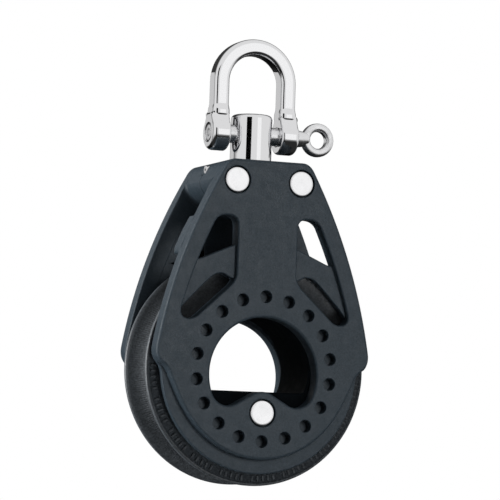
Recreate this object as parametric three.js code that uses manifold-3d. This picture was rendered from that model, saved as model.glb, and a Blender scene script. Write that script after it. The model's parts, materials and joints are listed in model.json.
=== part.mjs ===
// Single sheave block: a 75 mm ball-bearing sheave between two moulded cheeks, hung on a swivel
// post and a forged shackle. Millimetres, +Z up. The cheeks' outer faces look along -Y (front) and
// +Y (back), and the shackle pin's ring points along +X. The origin is the lowest point of the
// shackle bow's crown, inside the bow, where the block bears on whatever it hangs from.

import * as THREE from "three";
import Module from "manifold-3d";
import { mergeVertices } from "three/addons/utils/BufferGeometryUtils.js";

const wasm = await Module();
wasm.setup();

// ---- Driving dimensions. Heights (z) are measured from the sheave's centre. ----

const GAP = 0.3; // air left between pieces that touch on the real block

const SHEAVE_R = 37.5;
const SHEAVE_HALF_WIDTH = 11;
const GROOVE_FLOOR_R = 30.5;
const GROOVE_HALF_WIDTH = 9.2;
const SHEAVE_BORE_R = 25.2;

const BALL_R = 3.175;
const BALL_PITCH_R = 23.4;
const BALL_COUNT = 20;
const RACE_GROOVE_R = BALL_R + 0.1;
const RACE_GROOVE_HALF_WIDTH = 2.7;

const CHEEK_INNER_Y = 12.5; // from the mid-plane to a cheek's inner face
const CHEEK_OUTER_Y = 18; // from the mid-plane to a cheek's outer face
const BAND_STEP = 3.3; // how far the outer band at the foot lies below the face
const BAND_INNER_R = 29.2;
const BAND_OUTER_R = 33.6;
const POCKET_DEPTH = 2.2;

const HEAD_TOP_Z = 67.1;
const HEAD_FOOT_Z = 51.2; // lowest point of the head, above the sheave
const LINE_GUARD_Y = 6.9; // from the mid-plane to the line guard

const OPENING_R = 18.4; // the big bore through the middle of both cheeks
const OPENING_Z = -1.9;
const LOBE_R = 5.8; // its two lower corners
const LOBE_X = 11.8;
const LOBE_Z = -6.3;
const BOSS_R = 6.85; // the boss round the bottom rivet that bulges into it

const PIT_COUNT = 18; // blind round recesses in a ring round the bore
const PIT_R = 2;
const PIT_PITCH_R = 23.2;
const PIT_DEPTH = 4;

const HUB_R = 21.7;
const HUB_HALF_WIDTH = CHEEK_INNER_Y - GAP;
const HUB_BORE_R = 17.9;
const HUB_FLOOR_Z = -7.2;

const RIVET_X = 11.1;
const RIVET_Z = 60.3;
const BOTTOM_RIVET_Z = -14.1;
const RIVET_R = 2.3;
const RIVET_HEAD_R = 4.1;
const RIVET_HEAD_HEIGHT = 1.6;
const RIVET_RECESS = 0.2; // the head's face sits this far below the cheek's face
const COUNTERBORE_R = 4.5;

const PIN_Z = 77;
const PIN_R = 3;
const PIN_CLEARANCE = 0.1;
const RING_X = 23.4;
const RING_OUTER_R = 5.6;
const RING_HOLE_R = 2.8;
const RING_THICKNESS = 3.6;

const EAR_R = 5.8;
const EAR_INNER_X = 8.95;
const EAR_OUTER_X = 15.2;
const BAR_WIDTH = 5.3; // the bow's bar, in the plane of the bow
const BAR_DEPTH = 6.4;
const BAR_CORNER_R = 1.6;
const LEG_X = 11.7; // from the middle of the bow to the middle of a leg
const CROWN_Z = 103.2; // underside of the bow's crown

const POST_R = 6.8;
const POST_TOP_Z = 83.5;
const POST_SHOULDER_Z = 62.2;
const POST_NECK_R = 4.5;
const COLLAR_TOP_Z = 61.7;
const COLLAR_BOTTOM_Z = 58.7;
const WASHER_THICKNESS = 1;
const FLANGE_THICKNESS = 2.2;
const CAVITY_FLOOR_Z = 54.4;
const POST_BORE_R = POST_R + 0.3;
const LOCK_Z = 64.6; // height of the swivel lock screw
const LOCK_R = 1.45;
const LOCK_GROOVE_DEPTH = 1.2;

const rivetCentres = [
  [-RIVET_X, RIVET_Z],
  [RIVET_X, RIVET_Z],
  [0, BOTTOM_RIVET_Z],
];

// ---- Materials ----

const moulded = (color, roughness) =>
  new THREE.MeshStandardMaterial({ color, roughness, metalness: 0 });
const steel = (roughness) =>
  new THREE.MeshStandardMaterial({ color: 0xd4d6d8, roughness, metalness: 1 });

const cheekNylon = moulded(0x33373c, 0.55);
const sheaveNylon = moulded(0x26282b, 0.6);
const ballAcetal = moulded(0x4a4d50, 0.35);
const polished = steel(0.12);
const satin = steel(0.3);
const rivetSteel = steel(0.25);

// ---- Solids: three.js geometry in, manifold out ----

function solid(geometry) {
  const bare = geometry.index ? geometry.toNonIndexed() : geometry.clone();
  bare.deleteAttribute("normal");
  bare.deleteAttribute("uv");
  const merged = mergeVertices(bare, 1e-4);
  return new wasm.Manifold(
    new wasm.Mesh({
      numProp: 3,
      vertProperties: new Float32Array(merged.attributes.position.array),
      triVerts: new Uint32Array(merged.index.array),
    }),
  );
}

function geometryOf(manifold) {
  const { numProp, vertProperties, triVerts } = manifold.getMesh();
  const positions = new Float32Array((vertProperties.length / numProp) * 3);
  for (let i = 0; i < positions.length / 3; i++) {
    for (let axis = 0; axis < 3; axis++) {
      positions[3 * i + axis] = vertProperties[numProp * i + axis];
    }
  }
  const geometry = new THREE.BufferGeometry();
  geometry.setAttribute("position", new THREE.BufferAttribute(positions, 3));
  geometry.setIndex(new THREE.BufferAttribute(new Uint32Array(triVerts), 1));
  geometry.computeVertexNormals();
  return geometry;
}

// An outline drawn in X and Z, made solid from y0 to y1.
function plate(shape, y0, y1, curveSegments = 7) {
  const geometry = new THREE.ExtrudeGeometry(shape, {
    depth: y1 - y0,
    bevelEnabled: false,
    curveSegments,
  });
  geometry.rotateX(Math.PI / 2);
  geometry.translate(0, y1, 0);
  return solid(geometry);
}

function rodAlongY(x, z, radius, y0, y1, sides = 24) {
  const geometry = new THREE.CylinderGeometry(radius, radius, y1 - y0, sides);
  geometry.translate(x, (y0 + y1) / 2, z);
  return solid(geometry);
}

function rodAlongX(y, z, radius, x0, x1, sides = 24) {
  const geometry = new THREE.CylinderGeometry(radius, radius, x1 - x0, sides);
  geometry.rotateZ(Math.PI / 2);
  geometry.translate((x0 + x1) / 2, y, z);
  return solid(geometry);
}

// A profile of [radius, height] pairs turned about a line; "Z" leaves it upright, "Y" lays it down.
function turned(profile, axis, segments) {
  const points = profile.map(([radius, height]) => new THREE.Vector2(radius, height));
  points.push(points[0].clone());
  const geometry = new THREE.LatheGeometry(points, segments);
  if (axis === "Z") {
    geometry.rotateX(Math.PI / 2);
  }
  const body = solid(geometry);
  return body.volume() < 0 ? solid(flipped(geometry)) : body;
}

function flipped(geometry) {
  const result = geometry.clone();
  const index = result.index.array;
  for (let i = 0; i < index.length; i += 3) {
    [index[i], index[i + 1]] = [index[i + 1], index[i]];
  }
  return result;
}

// ---- Outlines ----

// One cheek seen from the front: a teardrop whose foot is an arc about the sheave's axis.
function cheekOutline(footRadius) {
  const shape = new THREE.Shape();
  const footAngle = -0.1;
  const footX = footRadius * Math.cos(footAngle);
  const footZ = footRadius * Math.sin(footAngle);
  shape.moveTo(-12, HEAD_TOP_Z);
  shape.lineTo(12, HEAD_TOP_Z);
  shape.quadraticCurveTo(14.6, HEAD_TOP_Z, 16.1, 63.5);
  shape.quadraticCurveTo(31.3, 36.5, 36.5, 6.5);
  shape.quadraticCurveTo(37.1, 3.2, 35.2, 1);
  shape.quadraticCurveTo(footX + 0.2, -0.4, footX, footZ);
  for (let step = 1; step <= 4; step++) {
    const from = footAngle - ((Math.PI + 2 * footAngle) * (step - 1)) / 4;
    const to = footAngle - ((Math.PI + 2 * footAngle) * step) / 4;
    shape.absarc(0, 0, footRadius, from, to, true);
  }
  shape.quadraticCurveTo(-footX - 0.2, -0.4, -35.2, 1);
  shape.quadraticCurveTo(-37.1, 3.2, -36.5, 6.5);
  shape.quadraticCurveTo(-31.3, 36.5, -16.1, 63.5);
  shape.quadraticCurveTo(-14.6, HEAD_TOP_Z, -12, HEAD_TOP_Z);
  return shape;
}

// The bore through the cheeks: a circle with two lower corners and a boss between them.
function openingOutline() {
  const bossToLobe = Math.hypot(LOBE_X, LOBE_Z - BOTTOM_RIVET_Z);
  const slope = Math.atan2(LOBE_Z - BOTTOM_RIVET_Z, LOBE_X);
  const tangent = slope + Math.acos((BOSS_R + LOBE_R) / bossToLobe);
  const meet = Math.atan2(LOBE_Z - OPENING_Z, LOBE_X);
  const shape = new THREE.Shape();
  shape.absarc(0, BOTTOM_RIVET_Z, BOSS_R, Math.PI - tangent, tangent, true);
  shape.absarc(LOBE_X, LOBE_Z, LOBE_R, tangent - Math.PI, meet, false);
  shape.absarc(0, OPENING_Z, OPENING_R, meet, Math.PI - meet, false);
  shape.absarc(-LOBE_X, LOBE_Z, LOBE_R, Math.PI - meet, 2 * Math.PI - tangent, false);
  return shape;
}

// The hollow beside the centre web: side is 1 on the right, -1 on the left.
function pocketOutline(side) {
  const shape = new THREE.Shape();
  shape.moveTo(side * 10.3, 45.3);
  shape.quadraticCurveTo(side * 10.3, 48.8, side * 13.8, 48.8);
  shape.quadraticCurveTo(side * 17.3, 48.8, side * 18.5, 46);
  shape.quadraticCurveTo(side * 25.1, 32, side * 28.7, 18.6);
  shape.quadraticCurveTo(side * 29.3, 15, side * 26, 15.1);
  shape.quadraticCurveTo(side * 24, 15.2, side * 22.7, 16.6);
  shape.lineTo(side * 12, 26.4);
  shape.quadraticCurveTo(side * 10.3, 28, side * 10.3, 30.5);
  return shape;
}

// The upper part of the pocket, where it goes right through.
function windowOutline(side) {
  const shape = new THREE.Shape();
  shape.moveTo(side * 10.3, 40);
  shape.lineTo(side * 10.3, 45.3);
  shape.quadraticCurveTo(side * 10.3, 48.8, side * 13.8, 48.8);
  shape.quadraticCurveTo(side * 17.3, 48.8, side * 18.5, 46);
  shape.lineTo(side * 22.9, 36.6);
  shape.quadraticCurveTo(side * 23.3, 34.2, side * 21.2, 34.9);
  return shape;
}

// The slanting slot at the foot of the pocket.
function slotOutline(side) {
  const half = 3.5;
  const top = new THREE.Vector2(15.2, 26.3);
  const foot = new THREE.Vector2(25.4, 18.8);
  const along = Math.atan2(foot.y - top.y, foot.x - top.x);
  const shape = new THREE.Shape();
  const turn = side > 0 ? 0 : Math.PI;
  const heading = side * along + turn;
  const left = heading + Math.PI / 2;
  const right = heading - Math.PI / 2;
  shape.absarc(side * top.x, top.y, half, left, left + Math.PI, false);
  shape.absarc(side * foot.x, foot.y, half, right, right + Math.PI, false);
  return shape;
}

// The head between the cheeks: a keystone whose rounded foot faces the sheave.
function headOutline() {
  const top = HEAD_TOP_Z - GAP;
  const shape = new THREE.Shape();
  shape.moveTo(-12, top);
  shape.lineTo(12, top);
  shape.quadraticCurveTo(14.4, top, 15.8, 63.5);
  shape.lineTo(17.6, 60.3);
  shape.quadraticCurveTo(15, 54.8, 9, 52.6);
  shape.quadraticCurveTo(4.5, HEAD_FOOT_Z, 0, HEAD_FOOT_Z);
  shape.quadraticCurveTo(-4.5, HEAD_FOOT_Z, -9, 52.6);
  shape.quadraticCurveTo(-15, 54.8, -17.6, 60.3);
  shape.lineTo(-15.8, 63.5);
  shape.quadraticCurveTo(-14.4, top, -12, top);
  return shape;
}

// The rib inside the front cheek's left edge that keeps the line off the sheave's rim.
function lineGuardOutline() {
  const shape = new THREE.Shape();
  shape.moveTo(-24, 47.4);
  shape.lineTo(-27.6, 38.6);
  shape.quadraticCurveTo(-28.8, 35.6, -26.4, 35.7);
  shape.lineTo(-22.4, 46.4);
  return shape;
}

// ---- Pieces ----

// The hollow in the head that holds the post: collar, washer space and flange space.
function postHollow() {
  return turned(
    [
      [0, CAVITY_FLOOR_Z],
      [POST_BORE_R, CAVITY_FLOOR_Z],
      [POST_BORE_R, COLLAR_BOTTOM_Z],
      [POST_NECK_R + 0.3, COLLAR_BOTTOM_Z],
      [POST_NECK_R + 0.3, COLLAR_TOP_Z],
      [POST_BORE_R, COLLAR_TOP_Z],
      [POST_BORE_R, HEAD_TOP_Z + 2],
      [0, HEAD_TOP_Z + 2],
    ],
    "Z",
    32,
  );
}

// A cheek with its half of the head, drawn as the front one. lockSide is where its lock screw is,
// windows are the sides whose pocket goes right through, and guarded is whether it has the rib.
function cheek(lockSide, windows, guarded) {
  const face = -CHEEK_OUTER_Y;
  const inner = -CHEEK_INNER_Y;
  const past = 1;
  const foot = plate(cheekOutline(BAND_OUTER_R), face + BAND_STEP, inner);
  const raised = plate(cheekOutline(BAND_INNER_R), face, inner - 1);
  const head = plate(headOutline(), inner - 0.5, -GAP / 2);
  let body = foot.add(raised).add(head);
  if (guarded) body = body.add(plate(lineGuardOutline(), inner - 0.5, -LINE_GUARD_Y));
  body = body.subtract(plate(openingOutline(), face - past, inner + past));
  for (const side of [-1, 1]) {
    body = body.subtract(plate(pocketOutline(side), face - past, face + POCKET_DEPTH, 4));
    body = body.subtract(plate(slotOutline(side), face - past, inner + past, 4));
  }
  for (const side of windows) {
    body = body.subtract(plate(windowOutline(side), face - past, inner + past, 4));
  }
  for (let i = 0; i < PIT_COUNT; i++) {
    const angle = (2 * Math.PI * i) / PIT_COUNT + Math.PI / 2;
    const x = PIT_PITCH_R * Math.cos(angle);
    const z = PIT_PITCH_R * Math.sin(angle);
    body = body.subtract(rodAlongY(x, z, PIT_R, face - past, face + PIT_DEPTH, 10));
  }
  const sink = face + RIVET_RECESS + RIVET_HEAD_HEIGHT + GAP;
  for (const [x, z] of rivetCentres) {
    body = body.subtract(rodAlongY(x, z, RIVET_R + 0.2, face - past, past, 16));
    body = body.subtract(rodAlongY(x, z, COUNTERBORE_R, face - past, sink));
  }
  const edge = lockSide * 25;
  const lockHole = rodAlongX(0, LOCK_Z, LOCK_R + 0.15, Math.min(0, edge), Math.max(0, edge), 16);
  return body.subtract(postHollow()).subtract(lockHole);
}

// A rivet through both cheeks, drawn about its own centre line, with a flat head at each end.
function rivet() {
  const end = CHEEK_OUTER_Y - RIVET_RECESS;
  const under = end - RIVET_HEAD_HEIGHT;
  return turned(
    [
      [0, -end],
      [RIVET_HEAD_R - 0.3, -end],
      [RIVET_HEAD_R, -end + 0.3],
      [RIVET_HEAD_R, -under],
      [RIVET_R, -under],
      [RIVET_R, under],
      [RIVET_HEAD_R, under],
      [RIVET_HEAD_R, end - 0.3],
      [RIVET_HEAD_R - 0.3, end],
      [0, end],
    ],
    "Y",
    20,
  );
}

// Points of the ball groove on a race, as [radius, y]; towards is 1 for the outer race, -1 inner.
function raceGroove(towards, steps) {
  const reach = Math.asin(RACE_GROOVE_HALF_WIDTH / RACE_GROOVE_R);
  const points = [];
  for (let i = 0; i <= steps; i++) {
    const angle = reach * (1 - (2 * i) / steps);
    const radius = BALL_PITCH_R + towards * RACE_GROOVE_R * Math.cos(angle);
    points.push([radius, RACE_GROOVE_R * Math.sin(angle)]);
  }
  return points;
}

// The sheave, turned about the Y axis: two rims, a round-bottomed groove and the outer ball race.
function sheave() {
  const rimChamfer = 0.7;
  const groove = [];
  const steps = 8;
  for (let i = 0; i <= steps; i++) {
    const y = GROOVE_HALF_WIDTH * (-1 + (2 * i) / steps);
    const share = Math.abs(y) / GROOVE_HALF_WIDTH;
    groove.push([GROOVE_FLOOR_R + (SHEAVE_R - GROOVE_FLOOR_R) * share ** 2.3, y]);
  }
  return turned(
    [
      [SHEAVE_BORE_R, -SHEAVE_HALF_WIDTH],
      [SHEAVE_R - rimChamfer, -SHEAVE_HALF_WIDTH],
      [SHEAVE_R, -SHEAVE_HALF_WIDTH + rimChamfer],
      ...groove,
      [SHEAVE_R, SHEAVE_HALF_WIDTH - rimChamfer],
      [SHEAVE_R - rimChamfer, SHEAVE_HALF_WIDTH],
      [SHEAVE_BORE_R, SHEAVE_HALF_WIDTH],
      ...raceGroove(1, 4),
    ],
    "Y",
    56,
  );
}

// The fixed hub: inner ball race outside, the big flat-floored bore inside.
function hub() {
  const ring = turned(
    [
      [0, -HUB_HALF_WIDTH],
      [HUB_R, -HUB_HALF_WIDTH],
      ...raceGroove(-1, 4).reverse(),
      [HUB_R, HUB_HALF_WIDTH],
      [0, HUB_HALF_WIDTH],
    ],
    "Y",
    48,
  );
  const bore = new THREE.Shape();
  const floorAngle = Math.asin(HUB_FLOOR_Z / HUB_BORE_R);
  bore.absarc(0, 0, HUB_BORE_R, floorAngle, Math.PI - floorAngle, false);
  const rivetHole = rodAlongY(0, BOTTOM_RIVET_Z, RIVET_R + 0.2, -20, 20, 16);
  return ring.subtract(plate(bore, -20, 20, 14)).subtract(rivetHole);
}

// The centre line of the bow: up one leg, round the crown and down the other, at an even pace.
class BowLine extends THREE.Curve {
  constructor(legX, footZ, springZ) {
    super();
    this.legX = legX;
    this.footZ = footZ;
    this.springZ = springZ;
  }

  getPoint(t, target = new THREE.Vector3()) {
    const leg = this.springZ - this.footZ;
    const crown = Math.PI * this.legX;
    const along = t * (2 * leg + crown);
    if (along <= leg) {
      return target.set(-this.legX, 0, this.footZ + along);
    }
    if (along >= leg + crown) {
      return target.set(this.legX, 0, this.springZ - (along - leg - crown));
    }
    const angle = Math.PI - (along - leg) / this.legX;
    const rise = this.legX * Math.sin(angle);
    return target.set(this.legX * Math.cos(angle), 0, this.springZ + rise);
  }
}

// The bow of the shackle: a flattened bar bent to a U, with a drilled ear at each end.
function shackleBow() {
  const springZ = CROWN_Z + BAR_WIDTH / 2 - LEG_X;
  const section = roundedRectangle(BAR_DEPTH, BAR_WIDTH, BAR_CORNER_R);
  const bar = new THREE.ExtrudeGeometry(section, {
    extrudePath: new BowLine(LEG_X, PIN_Z + 2, springZ),
    steps: 22,
    curveSegments: 2,
  });
  const drill = rodAlongX(0, PIN_Z, PIN_R + PIN_CLEARANCE, -20, 20, 32);
  return solid(bar).add(ear(-1)).add(ear(1)).subtract(drill);
}

function roundedRectangle(width, height, corner) {
  const x = width / 2;
  const y = height / 2;
  const shape = new THREE.Shape();
  shape.moveTo(-x + corner, -y);
  shape.lineTo(x - corner, -y);
  shape.quadraticCurveTo(x, -y, x, -y + corner);
  shape.lineTo(x, y - corner);
  shape.quadraticCurveTo(x, y, x - corner, y);
  shape.lineTo(-x + corner, y);
  shape.quadraticCurveTo(-x, y, -x, y - corner);
  shape.lineTo(-x, -y + corner);
  shape.quadraticCurveTo(-x, -y, -x + corner, -y);
  return shape;
}

function ear(side) {
  const edge = 0.6;
  const half = (EAR_OUTER_X - EAR_INNER_X) / 2;
  const profile = [
    [0, -half],
    [EAR_R - edge, -half],
    [EAR_R, -half + edge],
    [EAR_R, half - edge],
    [EAR_R - edge, half],
    [0, half],
  ];
  const points = profile.map(([radius, height]) => new THREE.Vector2(radius, height));
  const geometry = new THREE.LatheGeometry(points, 32);
  geometry.rotateZ(Math.PI / 2);
  geometry.translate((side * (EAR_INNER_X + EAR_OUTER_X)) / 2, 0, PIN_Z);
  return solid(geometry);
}

// The shackle pin: a plain shank with a flat ring at its right end to take fingers or a lashing.
function shacklePin() {
  const shank = rodAlongX(0, PIN_Z, PIN_R, -EAR_OUTER_X + 0.2, RING_X - RING_HOLE_R - 0.8, 32);
  const ring = turned(
    [
      [RING_HOLE_R, -RING_THICKNESS / 2 + 0.5],
      [RING_HOLE_R + 0.5, -RING_THICKNESS / 2],
      [RING_OUTER_R - 0.6, -RING_THICKNESS / 2],
      [RING_OUTER_R, -RING_THICKNESS / 2 + 0.6],
      [RING_OUTER_R, RING_THICKNESS / 2 - 0.6],
      [RING_OUTER_R - 0.6, RING_THICKNESS / 2],
      [RING_HOLE_R + 0.5, RING_THICKNESS / 2],
      [RING_HOLE_R, RING_THICKNESS / 2 - 0.5],
    ],
    "Y",
    32,
  ).translate([RING_X, 0, PIN_Z]);
  return shank.add(ring);
}

// The swivel post: a barrel drilled for the shackle pin, a neck, and the flange that takes the load.
function swivelPost() {
  const washerBottom = COLLAR_BOTTOM_Z - GAP - WASHER_THICKNESS;
  const flangeTop = washerBottom - GAP;
  const grooveR = POST_R - LOCK_GROOVE_DEPTH;
  const grooveHalf = LOCK_R + 0.25;
  const rounding = 1.6;
  const body = turned(
    [
      [0, flangeTop - FLANGE_THICKNESS],
      [POST_R, flangeTop - FLANGE_THICKNESS],
      [POST_R, flangeTop],
      [POST_NECK_R, flangeTop],
      [POST_NECK_R, POST_SHOULDER_Z],
      [POST_R, POST_SHOULDER_Z],
      [POST_R, LOCK_Z - grooveHalf],
      [grooveR, LOCK_Z - grooveHalf + 0.2],
      [grooveR, LOCK_Z + grooveHalf - 0.2],
      [POST_R, LOCK_Z + grooveHalf],
      [POST_R, POST_TOP_Z - rounding],
      [POST_R - 0.45, POST_TOP_Z - 0.5],
      [POST_R - rounding, POST_TOP_Z],
      [0, POST_TOP_Z],
    ],
    "Z",
    32,
  );
  return body.subtract(rodAlongX(0, PIN_Z, PIN_R + PIN_CLEARANCE, -10, 10, 32));
}

function thrustWasher() {
  const top = COLLAR_BOTTOM_Z - GAP;
  return turned(
    [
      [POST_NECK_R + 0.3, top - WASHER_THICKNESS],
      [POST_R, top - WASHER_THICKNESS],
      [POST_R, top],
      [POST_NECK_R + 0.3, top],
    ],
    "Z",
    32,
  );
}

// The set screw in the left edge of the head that locks the swivel, with its hexagon socket.
function lockScrew() {
  const outer = -14.4;
  const tip = -POST_R - 0.3;
  const body = rodAlongX(0, LOCK_Z, LOCK_R, outer, tip, 20);
  return body.subtract(rodAlongX(0, LOCK_Z, 0.75, outer - 1, outer + 1.6, 6));
}

// ---- Assembly ----

const block = new THREE.Group();
block.name = "block";
block.position.z = -CROWN_Z;

function place(name, manifold, material) {
  const mesh = new THREE.Mesh(geometryOf(manifold), material.clone());
  mesh.name = name;
  block.add(mesh);
  return mesh;
}

place("shackle_bow", shackleBow(), polished);
place("shackle_pin", shacklePin(), satin);
place("swivel_post", swivelPost(), polished);
place("thrust_washer", thrustWasher(), satin);
place("lock_screw", lockScrew(), satin);
place("front_cheek", cheek(-1, [-1, 1], true), cheekNylon);
place("back_cheek", cheek(1, [-1], false), cheekNylon).rotation.z = Math.PI;
place("hub", hub(), cheekNylon);
place("sheave", sheave(), sheaveNylon);

const rivetNames = ["rivet_top_left", "rivet_top_right", "rivet_bottom"];
rivetCentres.forEach(([x, z], i) => {
  place(rivetNames[i], rivet(), rivetSteel).position.set(x, 0, z);
});

const ballSolid = solid(new THREE.SphereGeometry(BALL_R, 10, 6));
for (let i = 0; i < BALL_COUNT; i++) {
  const angle = (2 * Math.PI * i) / BALL_COUNT;
  const ball = place(`ball_${String(i + 1).padStart(2, "0")}`, ballSolid, ballAcetal);
  ball.position.set(BALL_PITCH_R * Math.cos(angle), 0, BALL_PITCH_R * Math.sin(angle));
}

const part = new THREE.Group();
part.add(block);

export default part;
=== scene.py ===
"""Looks of the single sheave block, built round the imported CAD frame.

Lengths are millimetres until a mesh is made. Points are (x, y, z) with z measured from the
sheave's centre; make_object turns them into metres in the row's frame.
"""

import json
import math

import bmesh
import bpy
import numpy as np
from mathutils import Matrix, Vector
from mathutils.geometry import tessellate_polygon

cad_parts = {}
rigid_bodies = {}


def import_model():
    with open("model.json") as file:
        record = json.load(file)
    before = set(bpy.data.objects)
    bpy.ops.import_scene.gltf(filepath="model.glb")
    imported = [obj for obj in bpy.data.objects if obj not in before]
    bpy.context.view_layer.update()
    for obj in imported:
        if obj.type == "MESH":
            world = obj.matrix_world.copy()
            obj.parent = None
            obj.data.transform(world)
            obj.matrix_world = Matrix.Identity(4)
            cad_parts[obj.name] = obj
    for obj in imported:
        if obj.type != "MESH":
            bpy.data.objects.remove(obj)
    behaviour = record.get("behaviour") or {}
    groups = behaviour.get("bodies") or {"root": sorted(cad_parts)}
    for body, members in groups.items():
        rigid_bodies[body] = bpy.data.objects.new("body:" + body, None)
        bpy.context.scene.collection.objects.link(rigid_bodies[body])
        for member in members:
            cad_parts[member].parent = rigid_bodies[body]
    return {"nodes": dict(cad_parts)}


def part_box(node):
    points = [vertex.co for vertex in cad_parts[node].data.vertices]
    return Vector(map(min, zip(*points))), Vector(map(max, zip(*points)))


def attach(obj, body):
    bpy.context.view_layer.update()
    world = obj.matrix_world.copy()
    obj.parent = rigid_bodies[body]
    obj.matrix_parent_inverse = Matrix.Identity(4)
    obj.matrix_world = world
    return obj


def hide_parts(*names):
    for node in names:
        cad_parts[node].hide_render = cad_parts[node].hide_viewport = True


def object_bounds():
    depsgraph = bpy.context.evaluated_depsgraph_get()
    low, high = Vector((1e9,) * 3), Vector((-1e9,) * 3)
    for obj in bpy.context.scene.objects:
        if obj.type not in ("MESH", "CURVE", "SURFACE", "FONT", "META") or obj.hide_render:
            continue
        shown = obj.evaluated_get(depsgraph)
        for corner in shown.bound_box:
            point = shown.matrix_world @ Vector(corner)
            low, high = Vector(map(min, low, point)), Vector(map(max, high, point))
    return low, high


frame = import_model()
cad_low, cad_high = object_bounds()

MM = 0.001
SHARP_ANGLE = 35


# ---- Places and sizes taken from the frame ----

sheave_low, sheave_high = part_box("sheave")
SHEAVE_CENTRE_Z = (sheave_low.z + sheave_high.z) / 2
SHEAVE_R = (sheave_high.z - sheave_low.z) / 2 / MM
SHEAVE_HALF_WIDTH = sheave_high.y / MM


def node_box(name):
    """Lowest and highest corner of a CAD node, in millimetres, z from the sheave's centre."""
    low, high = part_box(name)
    base = Vector((0, 0, SHEAVE_CENTRE_Z))
    return (Vector(low) - base) / MM, (Vector(high) - base) / MM


def node_centre(name):
    low, high = node_box(name)
    return (low + high) / 2


CHEEK_OUTER_Y = -node_box("front_cheek")[0].y
CHEEK_INNER_Y = 12.5
HEAD_TOP_Z = node_box("front_cheek")[1].z

RIVETS = ("rivet_top_left", "rivet_top_right", "rivet_bottom")
RIVET_CENTRES = {name: node_centre(name) for name in RIVETS}
RIVET_LOW, RIVET_HIGH = node_box("rivet_top_left")
RIVET_END_Y = RIVET_HIGH.y
RIVET_HEAD_R = (RIVET_HIGH.x - RIVET_LOW.x) / 2

HUB_LOW, HUB_HIGH = node_box("hub")
POST_LOW, POST_HIGH = node_box("swivel_post")
LOCK_LOW, LOCK_HIGH = node_box("lock_screw")
LOCK_Z = (LOCK_LOW.z + LOCK_HIGH.z) / 2
LOCK_R = (LOCK_HIGH.z - LOCK_LOW.z) / 2

PIN_LOW, PIN_HIGH = node_box("shackle_pin")
PIN_R = PIN_HIGH.y
PIN_Z = (PIN_LOW.z + PIN_HIGH.z) / 2
BOW_HIGH = node_box("shackle_bow")[1]
EAR_R = BOW_HIGH.y
EAR_OUTER_X = BOW_HIGH.x


# ---- Mesh tools ----

def flatten_caps(obj):
    """Weights the shading by face area, so that flat faces stay flat beside rounded edges."""
    modifier = obj.modifiers.new("flat_caps", "WEIGHTED_NORMAL")
    modifier.keep_sharp = True
    modifier.weight = 80


def make_object(name, verts, faces, material, sharp_angle=SHARP_ANGLE, weighted=True):
    """A mesh object from points in millimetres, shaded smooth except at sharp edges."""
    mesh = bpy.data.meshes.new(name)
    points = np.asarray(verts, float) * MM + np.array((0, 0, SHEAVE_CENTRE_Z))
    mesh.from_pydata(points.tolist(), [], [tuple(int(i) for i in f) for f in faces])
    mesh.validate()
    shape = bmesh.new()
    shape.from_mesh(mesh)
    bmesh.ops.recalc_face_normals(shape, faces=shape.faces)
    shape.to_mesh(mesh)
    shape.free()
    mesh.polygons.foreach_set("use_smooth", [True] * len(mesh.polygons))
    mesh.set_sharp_from_angle(angle=math.radians(sharp_angle))
    mesh.materials.append(material)
    obj = bpy.data.objects.new(name, mesh)
    bpy.context.scene.collection.objects.link(obj)
    if weighted:
        flatten_caps(obj)
    return obj


def cut_away(piece, cutter):
    """Takes the cutter's shape out of a piece for good, and removes the cutter."""
    piece.modifiers.clear()
    modifier = piece.modifiers.new("cut", "BOOLEAN")
    modifier.operation = "DIFFERENCE"
    modifier.solver = "EXACT"
    modifier.object = cutter
    graph = bpy.context.evaluated_depsgraph_get()
    piece.data = bpy.data.meshes.new_from_object(piece.evaluated_get(graph))
    piece.modifiers.clear()
    bpy.data.objects.remove(cutter)
    piece.data.set_sharp_from_angle(angle=math.radians(SHARP_ANGLE))
    flatten_caps(piece)


def place(piece, body, node):
    """Puts a piece on the body it rides on, and hides the CAD node it stands for."""
    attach(piece, body)
    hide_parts(node)


class Shell:
    """Points and faces gathered from several closed shells, for one object."""

    def __init__(self):
        self.verts = []
        self.faces = []

    def add(self, verts, faces):
        start = len(self.verts)
        self.verts.extend(tuple(v) for v in verts)
        self.faces.extend(tuple(i + start for i in f) for f in faces)
        return self

    def turned(self):
        """The same shells turned half a turn about the vertical axis."""
        other = Shell()
        other.verts = [(-x, -y, z) for x, y, z in self.verts]
        other.faces = list(self.faces)
        return other


def left_normals(loop):
    """Unit normals on the left of each point of a loop: inwards where it runs counter-clockwise."""
    ahead = np.roll(loop, -1, axis=0)
    behind = np.roll(loop, 1, axis=0)
    t = ahead - behind
    t /= np.maximum(np.linalg.norm(t, axis=1, keepdims=True), 1e-9)
    return np.stack([-t[:, 1], t[:, 0]], axis=1)


def counter_clockwise(loop):
    x, z = loop[:, 0], loop[:, 1]
    area = np.sum(x * np.roll(z, -1) - z * np.roll(x, -1))
    return loop if area > 0 else loop[::-1]


def smooth(t):
    """An even ramp from 0 to 1 that starts and ends level."""
    t = np.clip(t, 0, 1)
    return t * t * (3 - 2 * t)


def rounding(radius, steps=5, front=True):
    """(into the material, down the wall) pairs round an edge; front=False runs up to the far edge."""
    out = []
    for i in range(steps + 1):
        angle = math.pi / 2 * i / steps
        out.append((radius * (1 - math.sin(angle)), radius * (1 - math.cos(angle))))
    return out if front else out[::-1]


def edge_profile(front_y, back_y, front_r, back_r, steps=5):
    """(into the material, y) pairs down a wall whose two edges are rounded."""
    rows = [(a, front_y + b) for a, b in rounding(front_r, steps)]
    return rows + [(a, back_y - b) for a, b in rounding(back_r, steps, front=False)]


def flat_ring(loop, y):
    """The points of a loop at depth y, which may be one number per point."""
    return np.stack([loop[:, 0], np.broadcast_to(y, len(loop)), loop[:, 1]], axis=1)


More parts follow.
